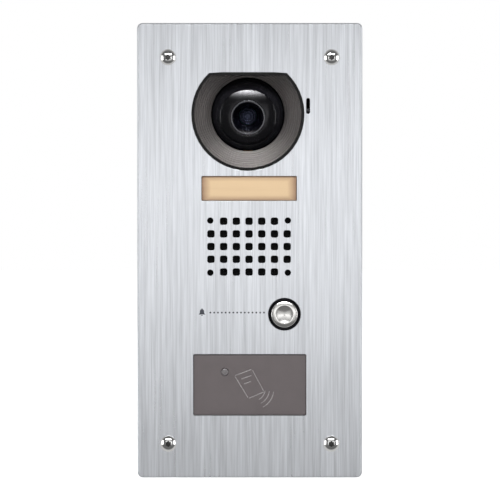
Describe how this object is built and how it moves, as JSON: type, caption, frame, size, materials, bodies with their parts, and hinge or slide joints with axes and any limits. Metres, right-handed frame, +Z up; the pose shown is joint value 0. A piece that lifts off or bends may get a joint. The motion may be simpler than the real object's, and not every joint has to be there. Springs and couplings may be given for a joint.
{
  "type": "door intercom panel",
  "caption": "Flush-mounted video door intercom panel with tilting camera, lamp window, speaker grille, call button and card reader in a wall box.",
  "frame": {"origin": "centre of the back box's rear face", "axes": "+Z up along the panel's height, +Y out of the back box's rear face into the wall, +X to the right as a visitor faces the panel"},
  "size_m": [0.135, 0.0529, 0.273],
  "materials": {
    "face_plate": "stainless steel plate, fine vertical brushing, bevelled edge",
    "face_gasket": "black closed-cell foam",
    "face_screw": "polished stainless steel with a lobed socket and centre pin",
    "camera_window": "clear polycarbonate, polished",
    "camera_window_seal": "black rubber sleeve",
    "camera_bezel": "grey-brown plastic dish with fine concentric grooves",
    "camera_frame": "black moulded plastic",
    "camera_ball": "glossy black plastic shell",
    "lens_holder": "black plastic barrel",
    "front_lens": "coated optical glass",
    "rear_lens": "coated optical glass",
    "camera_board": "green solder resist over glass-fibre board",
    "image_sensor": "black chip package",
    "tilt_lever": "black moulded plastic",
    "lever_screw": "plated steel",
    "camera_cable": "flat flexible ribbon with copper-coloured tracks",
    "lamp_window": "translucent amber plastic",
    "lamp_reflector": "white moulded plastic",
    "lamp_board": "green solder resist over glass-fibre board",
    "lamp_led": "white light-emitting diode",
    "grille_cloth": "fine black woven mesh",
    "speaker_gasket": "black foam ring",
    "speaker_frame": "zinc-plated pressed steel basket",
    "speaker_magnet": "dark grey ferrite ring",
    "speaker_yoke": "zinc-plated steel",
    "speaker_cone": "black paper cone with a rolled surround",
    "microphone_boot": "black rubber",
    "microphone": "aluminium can",
    "button_bezel": "glossy black plastic ring and guide",
    "button_cap": "polished metal cap with a dished centre",
    "button_clip": "spring steel",
    "button_spring": "stainless spring wire",
    "call_switch": "black switch body",
    "switch_plunger": "white plastic plunger",
    "inner_case": "black moulded plastic",
    "rear_cover": "black moulded plastic",
    "cover_screw": "zinc-plated steel",
    "main_board": "green solder resist over glass-fibre board",
    "terminal_block": "black terminal housing",
    "case_nut": "zinc-plated steel",
    "bracket_nut": "zinc-plated steel",
    "reader_window": "satin grey-brown plastic",
    "reader_led_lens": "smoked grey-brown plastic",
    "reader_housing": "black moulded plastic",
    "reader_coil": "enamelled copper winding",
    "reader_board": "green solder resist over glass-fibre board",
    "reader_bracket": "zinc-plated sheet steel",
    "reader_cable": "grey-black cable jacket",
    "back_box": "zinc-plated sheet steel",
    "cable_grommet": "black rubber",
    "blanking_plug": "zinc-plated steel"
  },
  "bodies": {
    "panel": {"face_plate": "face_plate", "face_gasket": "face_gasket", "face_screw_upper_left": "face_screw", "face_screw_upper_right": "face_screw", "face_screw_lower_left": "face_screw", "face_screw_lower_right": "face_screw", "camera_window": "camera_window", "camera_window_seal": "camera_window_seal", "camera_bezel": "camera_bezel", "camera_frame": "camera_frame", "camera_cable": "camera_cable", "lamp_window": "lamp_window", "lamp_reflector": "lamp_reflector", "lamp_board": "lamp_board", "lamp_led_left": "lamp_led", "lamp_led_right": "lamp_led", "grille_cloth": "grille_cloth", "speaker_gasket": "speaker_gasket", "speaker_frame": "speaker_frame", "speaker_magnet": "speaker_magnet", "speaker_yoke": "speaker_yoke", "microphone_boot": "microphone_boot", "microphone": "microphone", "button_bezel": "button_bezel", "button_spring": "button_spring", "call_switch": "call_switch", "inner_case": "inner_case", "rear_cover": "rear_cover", "cover_screw_left": "cover_screw", "cover_screw_right": "cover_screw", "main_board": "main_board", "terminal_block": "terminal_block", "case_nut_upper_left": "case_nut", "case_nut_upper_right": "case_nut", "case_nut_lower_left": "case_nut", "case_nut_lower_right": "case_nut", "bracket_nut_left": "bracket_nut", "bracket_nut_right": "bracket_nut", "reader_window": "reader_window", "reader_led_lens": "reader_led_lens", "reader_housing": "reader_housing", "reader_coil": "reader_coil", "reader_board": "reader_board", "reader_bracket": "reader_bracket", "reader_cable": "reader_cable", "back_box": "back_box", "cable_grommet": "cable_grommet", "blanking_plug": "blanking_plug"},
    "call_button": {"button_cap": "button_cap", "button_clip": "button_clip"},
    "plunger": {"switch_plunger": "switch_plunger"},
    "camera_head": {"camera_ball": "camera_ball", "lens_holder": "lens_holder", "front_lens": "front_lens", "rear_lens": "rear_lens", "camera_board": "camera_board", "image_sensor": "image_sensor", "tilt_lever": "tilt_lever", "lever_screw": "lever_screw"},
    "cone": {"speaker_cone": "speaker_cone"}
  },
  "joints": [
    {"name": "call_button_press", "type": "slide", "parent": "panel", "child": "call_button", "axis": [0, 1, 0], "range_m": [0, 0.0012], "stiffness_N_per_m": 600, "springref_m": -0.002, "deforming": ["button_spring"]},
    {"name": "switch_plunger_slide", "type": "slide", "parent": "panel", "child": "plunger", "axis": [0, 1, 0], "range_m": [0, 0.0012]},
    {"name": "camera_tilt", "type": "hinge", "parent": "panel", "child": "camera_head", "pos_m": [-0.00115, -0.0232, 0.0819], "axis": [-1, 0, 0], "range_deg": [-2, 14]},
    {"name": "speaker_cone_travel", "type": "slide", "parent": "panel", "child": "cone", "axis": [0, 1, 0], "range_m": [-0.0004, 0.0004], "stiffness_N_per_m": 300}
  ],
  "couplings": [
    {"joint": "switch_plunger_slide", "follows": "call_button_press", "ratio": 1}
  ]
}
